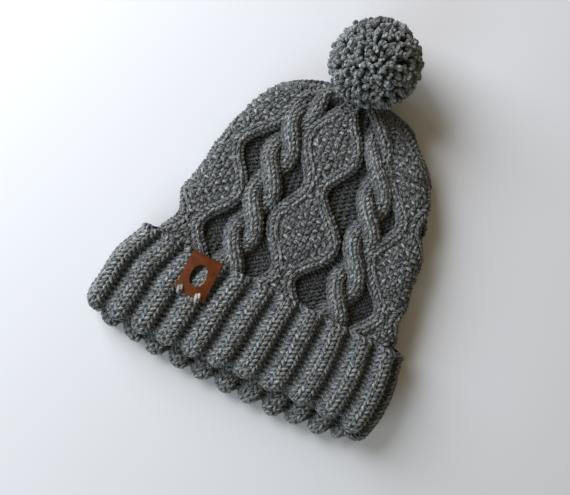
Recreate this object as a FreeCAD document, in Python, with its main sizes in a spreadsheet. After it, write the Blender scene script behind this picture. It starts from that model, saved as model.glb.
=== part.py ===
import FreeCAD, Part
import math
import os

import Sketcher

# A hand-knitted beanie with a turned-up cuff and a pom-pom, lying flat with its front side up.
# Frame, in millimetres: X runs along the folded edge of the cuff, Y from the head opening to the
# pom-pom, Z up from the surface that the hat lies on. The origin is at the middle of the front
# layer's folded edge, on that surface.

# alias, value, meaning. Lengths are in millimetres.
DIMS = [
    ("cuff_half_thick", 17, "half of the whole stack of layers at the cuff"),
    ("pressed_flat", 0.3, "depth by which the surface presses the back layer flat"),
    ("cuff_wall", 5, "thickness of the cuff's ribbing"),
    ("cuff_top", 67, "Y of the cuff's free edge, where the knitting was cast on"),
    ("hem_depth", 6, "depth of the hem, where the fabric turns back on itself"),
    ("back_drop", 14, "how much lower the back layer's fold lies than the front layer's"),
    ("layer_gap", 3, "room between the cuff and the band that it covers"),
    ("band_half_width", 103, "half width of the flattened band"),
    ("band_middle", 4.5, "X of the band's middle"),
    ("band_top", 62, "Y where the band ends and the cabled crown starts"),
    ("band_wall", 4, "thickness of the band and of the crown"),
    ("table_gap", 0.3, "height of the crown's underside over the surface"),
    ("tip_end", 240, "Y of the crown's drawn-up tip"),
    ("tip_middle", 2, "X of the crown's tip"),
    ("tip_height", 5.8, "Z of the middle of the crown's tip"),
    ("tip_hole_radius", 2.4, "hole left in the tip for the pom-pom's tie"),
    ("yarn_radius", 0.9, "radius of the yarn where it is pulled tight"),
    ("gather_radius", 3.4, "radius of the ring of yarn that draws the tip shut"),
    ("slack", 0.2, "room between pieces of yarn that lie against each other"),
    ("neck_gap", 5, "distance from the crown's tip to the middle of the tie's outer knot"),
    ("neck_radius", 2.2, "radius of that knot"),
    ("anchor_depth", 12, "distance of the inner knot's middle behind the tip"),
    ("anchor_radius", 2.3, "radius of the inner knot"),
    ("anchor_lift", 1.4, "height of the inner knot's middle over the tip's middle"),
    ("tail_spread", 1.1, "half the distance between the tie's two tails"),
    ("pom_radius", 32.5, "radius of the pom-pom's dense ball, under its loose tips"),
    ("pom_x", -6.5, "X of the pom-pom's middle"),
    ("pom_y", 265, "Y of the pom-pom's middle"),
    ("pom_z", 37.5, "Z of the pom-pom's middle"),
    ("channel_radius", 5.2, "radius of the channel that the tie runs through"),
    ("waist_radius", 2.8, "radius of the bundle of yarn at the pom-pom's waist"),
    ("waist_half", 1.6, "half the height of the channel's end around the waist"),
    ("binding_radius", 4, "radius of the binding around the waist"),
    ("tag_middle", -51.5, "X of the tag's middle"),
    ("tag_width", 25, "width of the leather tag"),
    ("tag_front", 41, "Y of the front flap's lower edge"),
    ("tag_back", 50, "Y of the back flap's lower edge"),
    ("tag_thick", 1.4, "thickness of the leather"),
    ("tag_clear", 0.4, "room between the tag and the cuff"),
    ("tag_tuck", 1.2, "distance of the tag's bend behind the cuff's free edge"),
    ("window_width", 12.5, "width of the oval window in the front flap"),
    ("window_length", 18, "length of that window"),
    ("window_middle", 56.5, "Y of the window's middle"),
    ("stitch_radius", 0.9, "radius of the yarn in the tag's stitches"),
    ("stitch_offset", 7.5, "distance of each stitch from the tag's middle line"),
    ("stitch_upper", 43.6, "Y of the stitches' holes in the tag"),
    ("stitch_lower", 36.6, "Y where the stitches enter the cuff under the tag"),
    ("stitch_bite", 2.5, "depth that the stitches reach into the cuff"),
    ("stitch_hole_radius", 1.2, "radius of those holes"),
    ("cast_on_x", 58, "X of the cast-on yarn's end"),
    ("cast_on_start", 12, "Y where the cast-on yarn's end stops"),
    ("cast_on_length", 50, "length of the cast-on yarn's end"),
    ("fasten_off_x", 16, "X of the fastened-off yarn's end"),
    ("fasten_off_start", 155, "Y where the fastened-off yarn's end stops"),
    ("fasten_off_length", 50, "length of the fastened-off yarn's end"),
]

# Cross-sections of the cuff's outside, from the back fold to the free edge:
# name, Y, half width, X of the middle.
CUFF_SECTIONS = [
    ("cuff_hem", -14, 117, -3),
    ("cuff_fold", 0, 121.5, -2.5),
    ("cuff_low", 20, 123, 0),
    ("cuff_high", 47, 120.5, 1.5),
    ("cuff_shoulder", 60, 116.5, 3),
    ("cuff_edge", 67, 113, 4.5),
]
# Cross-sections of the crown, from the band to the tip:
# name, Y, half width, half thickness, X of the middle.
CROWN_SECTIONS = [
    ("crown_start", 62, 103, 9, 4.5),
    ("crown_swell", 84, 101, 12, 6),
    ("crown_low", 109, 98, 13, 3.5),
    ("crown_middle", 139, 93, 13, 4),
    ("crown_waist", 162, 88.5, 13, 2.5),
    ("crown_high", 186, 80.5, 12.5, 1.5),
    ("crown_shoulder", 201, 74.5, 11.5, 0.5),
    ("crown_round", 216, 65.5, 9.5, 0.5),
    ("crown_neck", 226, 56, 7.2, 1.5),
    ("crown_gather", 234, 38, 5.4, 2),
    ("crown_tip", 240, 10, 4, 2),
]
# Sketches are drawn in their own XY plane. These turn them to face along Y and along X.
FACE_Y = FreeCAD.Rotation(FreeCAD.Vector(1, 0, 0), 90)
FACE_X = FreeCAD.Rotation(FreeCAD.Vector(1, 1, 1), 120)
FACE_Z_LENGTHWISE = FreeCAD.Rotation(FreeCAD.Vector(0, 0, 1), 90)
ALONG_X = FreeCAD.Vector(1, 0, 0)
ALONG_Y = FreeCAD.Vector(0, 1, 0)
ALONG_Z = FreeCAD.Vector(0, 0, 1)
SIDES = (("left", "-"), ("right", "+"))

STACK_MIDDLE = "(Dims.cuff_half_thick - Dims.pressed_flat)"
CUFF_FACE = "(2 * Dims.cuff_half_thick - Dims.pressed_flat)"
BAND_HALF_THICK = "(Dims.cuff_half_thick - Dims.cuff_wall - Dims.layer_gap)"
HOLLOW_HALF_WIDTH = "(Dims.band_half_width - Dims.band_wall)"
HOLLOW_HALF_THICK = f"({BAND_HALF_THICK} - Dims.band_wall)"
NECK = ("Dims.tip_middle", "Dims.tip_end + Dims.neck_gap", "Dims.tip_height")
POM_MIDDLE = ("Dims.pom_x", "Dims.pom_y", "Dims.pom_z")

doc = FreeCAD.newDocument("beanie")
sheet = doc.addObject("Spreadsheet::Sheet", "Dims")


def section_rows():
    """Gives each section's measurements an alias of its own, such as cuff_low_half."""
    rows = []
    for name, along, half, middle in CUFF_SECTIONS:
        rows += [(f"{name}_along", along), (f"{name}_half", half), (f"{name}_middle", middle)]
    for name, along, half, thick, middle in CROWN_SECTIONS:
        rows += [(f"{name}_along", along), (f"{name}_half", half), (f"{name}_middle", middle)]
        rows += [(f"{name}_thick", thick)]
    return [(alias, number, alias.replace("_", " ")) for alias, number in rows]


def fill_sheet():
    for row, (alias, number, meaning) in enumerate(DIMS + section_rows(), start=1):
        sheet.set(f"A{row}", meaning)
        sheet.set(f"B{row}", str(number))
        sheet.setAlias(f"B{row}", alias)
    doc.recompute()


def bind(item, **expressions):
    """Binds properties to sheet expressions. A double underscore stands for a dot."""
    for name, expression in expressions.items():
        item.setExpression(name.replace("__", "."), expression)
    return item


def place(item, spot, rotation=FreeCAD.Rotation()):
    """Turns an object, and binds its position to three expressions."""
    item.Placement = FreeCAD.Placement(FreeCAD.Vector(), rotation)
    x, y, z = spot
    return bind(item, Placement__Base__x=x, Placement__Base__y=y, Placement__Base__z=z)


def stadium(name, half_width, half_thick, spot, rotation=FACE_Y):
    """Two straight sides with half-round ends: a flattened tube's outline, or an oval window's."""
    sketch = doc.addObject("Sketcher::SketchObject", name)
    core, radius, quarter = 60, 10, math.pi / 2
    right, left, up = FreeCAD.Vector(core, 0), FreeCAD.Vector(-core, 0), FreeCAD.Vector(0, radius)
    sketch.addGeometry([
        Part.LineSegment(left + up, right + up),
        Part.ArcOfCircle(Part.Circle(right, ALONG_Z, radius), -quarter, quarter),
        Part.LineSegment(right - up, left - up),
        Part.ArcOfCircle(Part.Circle(left, ALONG_Z, radius), quarter, 3 * quarter),
    ])
    start, end, centre = 1, 2, 3
    joints = [(0, end, 1, end), (2, start, 1, start), (2, end, 3, end), (0, start, 3, start)]
    for joint in joints:
        sketch.addConstraint(Sketcher.Constraint("Tangent", *joint))
    sketch.addConstraint(Sketcher.Constraint("Equal", 1, 3))
    sketch.addConstraint(Sketcher.Constraint("PointOnObject", 1, centre, -1))
    sketch.addConstraint(Sketcher.Constraint("Symmetric", 1, centre, 3, centre, -1, 1))
    sketch.renameConstraint(sketch.addConstraint(Sketcher.Constraint("Radius", 1, radius)), "thick")
    across = Sketcher.Constraint("DistanceX", -1, 1, 1, centre, core)
    sketch.renameConstraint(sketch.addConstraint(across), "core")
    bind(sketch, Constraints__thick=half_thick, Constraints__core=f"{half_width} - {half_thick}")
    return place(sketch, spot, rotation)


def loft(name, sections):
    solid = doc.addObject("Part::Loft", name)
    solid.Sections = sections
    solid.Solid = True
    solid.Ruled = True
    return solid


def extrusion(name, profile, direction, length):
    solid = doc.addObject("Part::Extrusion", name)
    solid.Base = profile
    solid.DirMode = "Custom"
    solid.Dir = direction
    solid.Solid = True
    return bind(solid, LengthFwd=length)


def cut(name, base, *tools):
    """Takes the tools out of the base one after another, and names the last result."""
    for tool in tools:
        solid = doc.addObject("Part::Cut", name if tool is tools[-1] else f"{tool.Name}_cut")
        solid.Base = base
        solid.Tool = tool
        base = solid
    return base


def joined(name, *shapes):
    solid = doc.addObject("Part::MultiFuse", name)
    solid.Shapes = list(shapes)
    return solid


def box(name, spot, length, width, height, rotation=FreeCAD.Rotation()):
    solid = bind(doc.addObject("Part::Box", name), Length=length, Width=width, Height=height)
    return place(solid, spot, rotation)


def rod(name, spot, direction, length, radius="Dims.yarn_radius"):
    """A round bar or a straight length of yarn."""
    solid = bind(doc.addObject("Part::Cylinder", name), Radius=radius, Height=length)
    return place(solid, spot, FreeCAD.Rotation(ALONG_Z, direction))


def ring(name, spot, direction, radius):
    """A ring of yarn around a direction."""
    solid = bind(doc.addObject("Part::Torus", name), Radius1=radius, Radius2="Dims.yarn_radius")
    return place(solid, spot, FreeCAD.Rotation(ALONG_Z, direction))


def knot(name, spot, radius):
    return place(bind(doc.addObject("Part::Sphere", name), Radius=radius), spot)


def neck_to_pom():
    """The vector from the tie's outer knot to the middle of the pom-pom."""
    neck = FreeCAD.Vector(
        sheet.get("tip_middle"), sheet.get("tip_end") + sheet.get("neck_gap"), sheet.get("tip_height")
    )
    return FreeCAD.Vector(sheet.get("pom_x"), sheet.get("pom_y"), sheet.get("pom_z")) - neck


def ribbed_band():
    """The ribbing under the cuff: a flat tube, the same all along, so that the cuff slides on it."""
    spot = ("Dims.band_middle", "Dims.hem_depth", STACK_MIDDLE)
    length = "Dims.band_top - Dims.hem_depth"
    outline = stadium("band_outline", "Dims.band_half_width", BAND_HALF_THICK, spot)
    inside = stadium("band_inside", HOLLOW_HALF_WIDTH, HOLLOW_HALF_THICK, spot)
    tube = extrusion("band_tube", outline, ALONG_Y, length)
    return cut("ribbed_band", tube, extrusion("band_hollow", inside, ALONG_Y, length))


def mouth_trim():
    """A slanting block that takes the front layer's fold back from the back layer's."""
    slant = math.degrees(math.atan2(sheet.get("back_drop"), 2 * sheet.get("cuff_half_thick")))
    angle = "atan(Dims.back_drop / (2 * Dims.cuff_half_thick))"
    reach = "(4 * Dims.back_drop)"
    spot = (
        "-2 * Dims.band_half_width",
        f"-Dims.back_drop - {reach} * cos({angle})",
        f"{reach} * sin({angle}) - Dims.pressed_flat",
    )
    return box(
        "mouth_trim", spot, "4 * Dims.band_half_width", reach, "4 * Dims.cuff_half_thick",
        FreeCAD.Rotation(ALONG_X, -slant),
    )


def turned_up_cuff():
    """The ring of ribbing that is folded up around the band, with its hem at the head opening."""
    def section(name, wall, along):
        spot = (f"Dims.{name}_middle", along, STACK_MIDDLE)
        label = f"{name}_room" if wall != "0" else name
        return stadium(label, f"(Dims.{name}_half - {wall})", f"(Dims.cuff_half_thick - {wall})", spot)

    names = [name for name, *_ in CUFF_SECTIONS]
    outside = loft("cuff_body", [section(name, "0", f"Dims.{name}_along") for name in names])
    room_starts = {"cuff_fold": "Dims.hem_depth - 1"}
    room = loft("cuff_room", [
        section(name, "Dims.cuff_wall", room_starts.get(name, f"Dims.{name}_along")) for name in names[1:]
    ])
    mouth_spot = ("Dims.band_middle", "-2 * Dims.back_drop", STACK_MIDDLE)
    mouth_outline = stadium("mouth_outline", HOLLOW_HALF_WIDTH, HOLLOW_HALF_THICK, mouth_spot)
    mouth = extrusion("mouth", mouth_outline, ALONG_Y, "2 * Dims.back_drop + 2 * Dims.hem_depth")
    surface = box(
        "surface", ("-2 * Dims.band_half_width", "-2 * Dims.back_drop", "-Dims.cuff_half_thick"),
        "4 * Dims.band_half_width", "2 * Dims.back_drop + 2 * Dims.cuff_top", "Dims.cuff_half_thick",
    )
    return cut("turned_up_cuff", outside, room, mouth, mouth_trim(), surface)


def knitted_crown():
    """The cabled crown: a flat dome of fabric that is drawn shut at its tip."""
    heights = {"crown_start": STACK_MIDDLE, "crown_tip": "Dims.tip_height"}

    def section(name, wall):
        thick = f"Dims.{name}_thick"
        height = heights.get(name, f"{thick} + Dims.table_gap")
        spot = (f"Dims.{name}_middle", f"Dims.{name}_along", height)
        label = f"{name}_room" if wall != "0" else name
        return stadium(label, f"(Dims.{name}_half - {wall})", f"({thick} - {wall})", spot)

    names = [name for name, *_ in CROWN_SECTIONS]
    outside = loft("crown_body", [section(name, "0") for name in names])
    room = loft("crown_room", [section(name, "Dims.band_wall") for name in names[:-1]])
    start = ("Dims.tip_middle", "Dims.tip_end - Dims.anchor_depth", "Dims.tip_height")
    hole = rod("tip_hole", start, ALONG_Y, "2 * Dims.anchor_depth", "Dims.tip_hole_radius")
    return cut("knitted_crown", outside, room, hole)


def tie_pieces():
    """The yarn at the tip: the gathering ring, the tie's two inner tails and its two knots."""
    gather_spot = ("Dims.tip_middle", "Dims.tip_end + Dims.yarn_radius + Dims.slack", "Dims.tip_height")
    anchor_spot = (
        "Dims.tip_middle", "Dims.tip_end - Dims.anchor_depth", "Dims.tip_height + Dims.anchor_lift"
    )
    first = "Dims.tip_end - Dims.anchor_depth + Dims.anchor_radius + Dims.slack"
    length = f"Dims.neck_gap - Dims.neck_radius - Dims.slack + Dims.tip_end - ({first})"
    tails = []
    for side, sign in SIDES:
        spot = (f"Dims.tip_middle {sign} Dims.tail_spread", first, "Dims.tip_height")
        tails.append(rod(f"tail_{side}", spot, ALONG_Y, length))
    return [
        ring("crown_gathering_yarn", gather_spot, ALONG_Y, "Dims.gather_radius"),
        knot("tie_anchor_knot", anchor_spot, "Dims.anchor_radius"),
        knot("pom_neck_knot", NECK, "Dims.neck_radius"),
        joined("tie_tails_inside", *tails),
    ]


def pom_pom():
    """A ball of cut yarn around its waist, with the channel that the tie comes in through."""
    radius, channel = sheet.get("pom_radius"), sheet.get("channel_radius")
    waist, waist_half = sheet.get("waist_radius"), sheet.get("waist_half")
    mouth = -math.sqrt(radius ** 2 - channel ** 2)
    corners = [
        FreeCAD.Vector(channel, 0, mouth), FreeCAD.Vector(channel, 0, waist_half),
        FreeCAD.Vector(waist, 0, waist_half), FreeCAD.Vector(waist, 0, -waist_half),
        FreeCAD.Vector(0, 0, -waist_half), FreeCAD.Vector(0, 0, radius),
    ]
    side = FreeCAD.Vector(radius, 0, 0)
    edges = [Part.makeLine(first, last) for first, last in zip(corners, corners[1:])]
    edges.append(Part.Arc(corners[-1], side, corners[0]).toShape())
    ball = doc.addObject("Part::Feature", "pom_pom")
    ball.Shape = Part.Face(Part.Wire(edges)).revolve(FreeCAD.Vector(), ALONG_Z, 360)
    return place(ball, POM_MIDDLE, FreeCAD.Rotation(ALONG_Z, neck_to_pom()))


def pom_binding_yarn():
    """The yarn that binds the pom-pom's waist, and its two tails that run to the tie's outer knot."""
    axis = neck_to_pom()
    turn = FreeCAD.Rotation(ALONG_Z, axis)
    near = sheet.get("neck_radius") + 3 * sheet.get("slack")
    pieces = [ring("binding_ring", POM_MIDDLE, axis, "Dims.binding_radius")]
    for side, sign in (("left", -1), ("right", 1)):
        start = turn.multVec(FreeCAD.Vector(sign * sheet.get("tail_spread"), 0, near - axis.Length))
        end = turn.multVec(FreeCAD.Vector(sign * sheet.get("binding_radius"), 0, 0))
        spot = [f"{middle} + ({shift})" for middle, shift in zip(POM_MIDDLE, start)]
        run = end - start
        pieces.append(rod(f"binding_tail_{side}", spot, run, str(run.Length)))
    return joined("pom_binding_yarn", *pieces)


def leather_tag():
    """A strap of leather folded over the cuff's free edge, with an oval window and stitch holes."""
    inner = "(Dims.cuff_wall / 2 + Dims.tag_clear)"
    outer = f"({inner} + Dims.tag_thick)"
    flap = "(Dims.cuff_top - Dims.tag_tuck - Dims.tag_front)"
    left = "Dims.tag_middle - Dims.tag_width / 2"
    mid_wall = f"{CUFF_FACE} - Dims.cuff_wall / 2"
    spot = (left, "Dims.tag_front", mid_wall)
    outline = stadium("tag_outline", f"({flap} + {outer})", outer, spot, FACE_X)
    inline = stadium("tag_inline", f"({flap} + {inner})", inner, spot, FACE_X)
    strap = extrusion("tag_strap", outline, ALONG_X, "Dims.tag_width")
    room = extrusion("tag_room", inline, ALONG_X, "Dims.tag_width")
    under = f"{mid_wall} - 2 * {outer}"
    front_trim = box(
        "front_trim", (left, f"Dims.tag_front - 2 * {flap}", under),
        "Dims.tag_width", f"2 * {flap}", f"4 * {outer}",
    )
    back_trim = box(
        "back_trim", (left, "Dims.tag_front - Dims.tag_clear", under),
        "Dims.tag_width", "Dims.tag_back - Dims.tag_front + Dims.tag_clear", f"2 * {outer}",
    )
    window_outline = stadium(
        "window_outline", "(Dims.window_length / 2)", "(Dims.window_width / 2)",
        ("Dims.tag_middle", "Dims.window_middle", mid_wall), FACE_Z_LENGTHWISE,
    )
    openings = [extrusion("window", window_outline, ALONG_Z, f"2 * {outer}")]
    for side, sign in SIDES:
        hole = (f"Dims.tag_middle {sign} Dims.stitch_offset", "Dims.stitch_upper", mid_wall)
        openings.append(rod(f"stitch_hole_{side}", hole, ALONG_Z, f"2 * {outer}", "Dims.stitch_hole_radius"))
    return cut("leather_tag", strap, room, front_trim, back_trim, *openings)


def tag_stitch(side, sign):
    """A stitch of pale yarn from a hole in the tag, over the tag's lower edge and into the cuff."""
    x = f"Dims.tag_middle {sign} Dims.stitch_offset"
    over_tag = "Dims.tag_clear + Dims.tag_thick + Dims.slack + Dims.stitch_radius"
    top = f"{CUFF_FACE} + {over_tag}"
    leg = f"{over_tag} + Dims.stitch_bite"
    radius = "Dims.stitch_radius"
    span = "Dims.stitch_upper - Dims.stitch_lower"
    pieces = [rod(f"stitch_{side}_bar", (x, "Dims.stitch_lower", top), ALONG_Y, span, radius)]
    for end in ("upper", "lower"):
        y = f"Dims.stitch_{end}"
        pieces.append(rod(f"stitch_{side}_{end}_leg", (x, y, f"{top} - ({leg})"), ALONG_Z, leg, radius))
        pieces.append(knot(f"stitch_{side}_{end}_bend", (x, y, top), radius))
    return joined(f"tag_stitch_{side}", *pieces)


def woven_ends():
    """The two ends of the knitting yarn: one on the cuff's inner face, and one inside the crown."""
    in_gap = f"{CUFF_FACE} - Dims.cuff_wall - Dims.layer_gap / 2"
    cast_on = ("Dims.cast_on_x", "Dims.cast_on_start", in_gap)
    in_crown = "Dims.crown_high_thick + Dims.table_gap"
    fasten_off = ("Dims.fasten_off_x", "Dims.fasten_off_start", in_crown)
    return [
        rod("cast_on_tail", cast_on, ALONG_Y, "Dims.cast_on_length"),
        rod("fastened_off_tail", fasten_off, ALONG_Y, "Dims.fasten_off_length"),
    ]


def check(parts):
    """Stops if an object failed to build, or a piece has no valid solid."""
    for item in doc.Objects:
        if "Invalid" in item.State or "Error" in item.State:
            raise SystemExit(f"{item.Name} did not build: {item.State}")
    for part in parts:
        if part.Shape.isNull() or not part.Shape.isValid() or not part.Shape.Solids:
            raise SystemExit(f"{part.Label} has no valid solid")


fill_sheet()
pieces = [ribbed_band(), turned_up_cuff(), knitted_crown(), pom_pom(), pom_binding_yarn(), leather_tag()]
pieces += [tag_stitch(side, sign) for side, sign in SIDES]
pieces += tie_pieces() + woven_ends()
doc.recompute()
check(pieces)
os.makedirs("parts", exist_ok=True)
for piece in pieces:
    piece.Shape.exportStep(f"parts/{piece.Label}.step")
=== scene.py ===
import math

import bpy
import numpy as np
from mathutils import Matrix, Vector


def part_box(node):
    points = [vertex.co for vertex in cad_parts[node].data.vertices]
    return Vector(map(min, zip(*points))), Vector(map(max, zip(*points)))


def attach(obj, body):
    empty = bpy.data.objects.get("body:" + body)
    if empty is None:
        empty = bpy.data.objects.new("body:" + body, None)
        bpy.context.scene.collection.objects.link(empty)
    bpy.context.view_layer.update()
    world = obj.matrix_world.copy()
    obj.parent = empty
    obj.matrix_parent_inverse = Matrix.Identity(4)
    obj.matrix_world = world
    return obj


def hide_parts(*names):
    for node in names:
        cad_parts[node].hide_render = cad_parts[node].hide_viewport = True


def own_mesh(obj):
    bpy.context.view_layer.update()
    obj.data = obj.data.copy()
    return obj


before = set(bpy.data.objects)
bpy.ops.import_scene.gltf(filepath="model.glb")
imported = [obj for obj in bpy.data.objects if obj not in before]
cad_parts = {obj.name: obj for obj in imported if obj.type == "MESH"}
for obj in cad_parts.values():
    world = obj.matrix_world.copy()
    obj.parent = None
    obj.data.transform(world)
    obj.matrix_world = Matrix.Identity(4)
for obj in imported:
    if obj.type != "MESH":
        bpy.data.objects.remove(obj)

# Shapes are worked out in millimetres in the part's own frame: X along the cuff's folded edge, Y from
# the head opening to the pom-pom, Z up from the surface. They become metres when a mesh is made.
MM = 0.001
TURN = 2 * math.pi
SEED = 11
ASIDE = np.array([0.3, 0.2, 0.93])  # a direction that no length of yarn runs along

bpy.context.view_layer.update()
rng = np.random.default_rng(SEED)


# ---------------- helpers

def smooth(y, points, column):
    """Cubic interpolation of one column of a table whose first column is Y."""
    ys, values = points[:, 0], points[:, column]
    slopes = np.gradient(values, ys)
    y = np.clip(y, ys[0], ys[-1])
    i = np.clip(np.searchsorted(ys, y) - 1, 0, len(ys) - 2)
    step = ys[i + 1] - ys[i]
    t = (y - ys[i]) / step
    rise = t * t * (3 - 2 * t)
    bend = step * t * (1 - t) * ((1 - t) * slopes[i] - t * slopes[i + 1])
    return values[i] * (1 - rise) + values[i + 1] * rise + bend


def ease(t):
    """Rises gently from 0 to 1 as t does, and stays there."""
    t = np.clip(t, 0, 1)
    return t * t * (3 - 2 * t)


def unit(vectors):
    return vectors / np.maximum(np.linalg.norm(vectors, axis=-1, keepdims=True), 1e-9)


def travel(points):
    """Distance along a path from its first point to each of its points."""
    return np.concatenate([[0], np.cumsum(np.linalg.norm(np.diff(points, axis=0), axis=1))])


def wobble(u, v, size, seed):
    """Slow, repeatable unevenness between -1 and 1, from two waves that cross each other."""
    first = np.sin(u * 1.7 / size + seed) * np.cos(v * 1.3 / size - 2.1 * seed)
    second = np.sin(u * 0.9 / size - v * 1.9 / size + 4.7 * seed)
    return 0.6 * first + 0.4 * second


def wrap(part):
    """The same place on a turn, as a share between -0.5 and 0.5."""
    return (part + 0.5) % 1 - 0.5


def node_box(node):
    """Lowest and highest corners of a CAD node in millimetres."""
    low, high = np.array(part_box(node)) / MM
    return low, high


def add_object(name, data):
    item = bpy.data.objects.new(name, data)
    bpy.context.scene.collection.objects.link(item)
    return item


# ---------------- meshes of yarn

TABLE_GAP = 0.1  # yarn stays this far above the table
MARL_SKIP = 3.7  # marl left out between one length of yarn and the next
PAINTED_FLANK_SHADE = 0.62  # painted shade: how much darker the flanks of a yarn are painted than its outer side
ATLAS_SHAPE = 8  # rows of segments for each column in the flat map
ATLAS_MARGIN = 0.05  # share of a column's width that stays empty on each side


class Skein:
    """Collects lengths of yarn, and turns them into one mesh of swept tubes."""

    def __init__(self, name, sides=6):
        self.name, self.sides = name, sides
        self.points, self.shades, self.quads, self.fans, self.spans = [], [], [], [], []
        self.tops, self.ups = [], []
        self.count = 0
        self.laid = 0.0

    def add(self, path, out, radius, shade=1.0, closed=False, caps=False, shadow=PAINTED_FLANK_SHADE):
        """Lays one length of yarn along path. out: a direction out of the fabric at each point.

        shade: how light the yarn is painted at each point, as painted light and shade. shadow: how much
        darker its flanks are painted, as painted shade."""
        path, out = np.array(path, float), np.asarray(out, float)
        radius = np.broadcast_to(np.asarray(radius, float), len(path))
        path[:, 2] = np.maximum(path[:, 2], radius + TABLE_GAP)
        if closed:
            ahead, behind = np.roll(path, -1, 0), np.roll(path, 1, 0)
        else:
            ahead, behind = np.vstack([path[1:], path[-1:]]), np.vstack([path[:1], path[:-1]])
        along = unit(ahead - behind)
        side = unit(np.cross(along, out))
        up = np.cross(side, along)
        angle = np.arange(self.sides) * TURN / self.sides
        ring = np.cos(angle)[:, None] * side[:, None] + np.sin(angle)[:, None] * up[:, None]
        self.points.append((path[:, None] + radius[:, None, None] * ring).reshape(-1, 3))
        shade = np.broadcast_to(np.asarray(shade, float), len(path))
        # Painted shade: each ring is painted lightest on its outer side, darker on its flanks and darkest on
        # its underside.
        self.shades.append((shade[:, None] * (1 - shadow + shadow * np.sin(angle))).ravel())
        self.tops.append(path + radius[:, None] * up)
        self.ups.append(up)
        self.measure(path, closed)
        self.join_rings(len(path), closed, caps)

    def measure(self, path, closed):
        """Keeps where each segment starts and ends along all the yarn laid so far."""
        length = travel(path) + self.laid
        if closed:
            length = np.append(length, length[-1] + np.linalg.norm(path[0] - path[-1]))
        self.laid = length[-1] + MARL_SKIP
        self.spans.append(np.column_stack([length[:-1], length[1:]]))

    def join_rings(self, rings, closed, caps):
        """The faces between each ring of points and the next, and over both ends where caps is set."""
        k = self.sides
        first = np.arange(rings if closed else rings - 1)[:, None]
        near, far = first * k, (first + 1) % rings * k
        corner = np.arange(k)[None, :]
        following = (corner + 1) % k
        quads = np.stack([near + corner, near + following, far + following, far + corner], -1)
        self.quads.append(quads.reshape(-1, 4) + self.count)
        if caps:
            self.fans.append(self.count + np.arange(k)[::-1])
            self.fans.append(self.count + (rings - 1) * k + np.arange(k))
        self.count += rings * k

    def build(self, material):
        k = self.sides
        points = np.concatenate(self.points) * MM
        quads = np.concatenate(self.quads)
        fans = np.array(self.fans).reshape(-1, k)
        mesh = bpy.data.meshes.new(self.name)
        mesh.vertices.add(len(points))
        mesh.vertices.foreach_set("co", points.ravel())
        corners = np.concatenate([quads.ravel(), fans.ravel()]).astype(np.int32)
        starts = np.concatenate([np.arange(len(quads)) * 4, len(quads) * 4 + np.arange(len(fans)) * k])
        mesh.loops.add(len(corners))
        mesh.loops.foreach_set("vertex_index", corners)
        mesh.polygons.add(len(starts))
        mesh.polygons.foreach_set("loop_start", starts.astype(np.int32))
        mesh.polygons.foreach_set("use_smooth", np.ones(len(starts), bool))
        shade = mesh.attributes.new("shade", "FLOAT", "POINT")
        shade.data.foreach_set("value", np.concatenate(self.shades).astype(np.float32))
        self.lay_out(mesh)
        mesh.update(calc_edges=True)
        mesh.validate()
        mesh.materials.append(material)
        return add_object(self.name, mesh)

    def lay_out(self, mesh):
        """Two UV maps: one that runs along the yarn for its twist, and one flat atlas without overlaps."""
        k = self.sides
        spans = np.concatenate(self.spans)
        corner = np.arange(k)
        around = np.stack([corner, corner + 1, corner + 1, corner], -1) / k
        twist = np.empty((len(spans), k, 4, 2))
        twist[..., 0] = around
        twist[..., :2, 1] = spans[:, None, :1]
        twist[..., 2:, 1] = spans[:, None, 1:]
        columns = max(1, int(math.sqrt(len(spans) / ATLAS_SHAPE)))
        rows = math.ceil(len(spans) / columns)
        index = np.arange(len(spans))[:, None, None]
        low = index % rows / rows
        atlas = np.empty(twist.shape)
        atlas[..., 0] = (index // rows + ATLAS_MARGIN + (1 - 2 * ATLAS_MARGIN) * around) / columns
        atlas[..., :2, 1] = low
        atlas[..., 2:, 1] = low + 1 / rows
        caps = np.zeros((len(self.fans) * k, 2))
        for name, places in (("twist", twist), ("OFBake", atlas)):
            layer = mesh.uv_layers.new(name=name)
            layer.data.foreach_set("uv", np.concatenate([places.reshape(-1, 2), caps]).ravel())
        mesh.uv_layers.active = mesh.uv_layers["OFBake"]
        mesh.uv_layers["OFBake"].active_render = True


FIBRE = 0.055  # radius of a loose fibre at its root
FIBRE_LEAN = 0.5  # spread of the fibres' directions around straight out of the yarn
FIBRE_CURL = 0.55  # spread of their curl, as a share of their length


def fuzz(name, skeins, material, count=3200, length=3.6):
    """Fine loose fibres that stand out of the yarn and curl back over it."""
    tops = np.concatenate([top for skein in skeins for top in skein.tops])
    ups = np.concatenate([up for skein in skeins for up in skein.ups])
    fibres = Skein(name, 3)
    t = np.linspace(0, 1, 5)[:, None]
    for pick in rng.choice(len(tops), count):
        way = unit(ups[pick] + rng.normal(0, FIBRE_LEAN, 3))
        curl = rng.normal(0, FIBRE_CURL, 3)
        reach = length * rng.uniform(0.4, 1.0)
        path = tops[pick] + reach * (way * t + curl * t ** 2)
        out = np.broadcast_to(np.cross(way, ASIDE), path.shape)
        fibres.add(path, out, FIBRE * (1.2 - t[:, 0]), shadow=0)
    return fibres.build(material)


WIDTH_JITTER = 0.04  # unevenness of the stitches' widths, as a share
RISE_JITTER = 0.06  # the same for their heights
OUT_JITTER = 0.12  # unevenness of how far they stand out, in mm
SWELL = 0.2  # share by which yarn is thicker where nothing presses it
TURNOVER = TURN / 5  # part of a stitch in which the yarn passes from a knit to a purl


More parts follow.
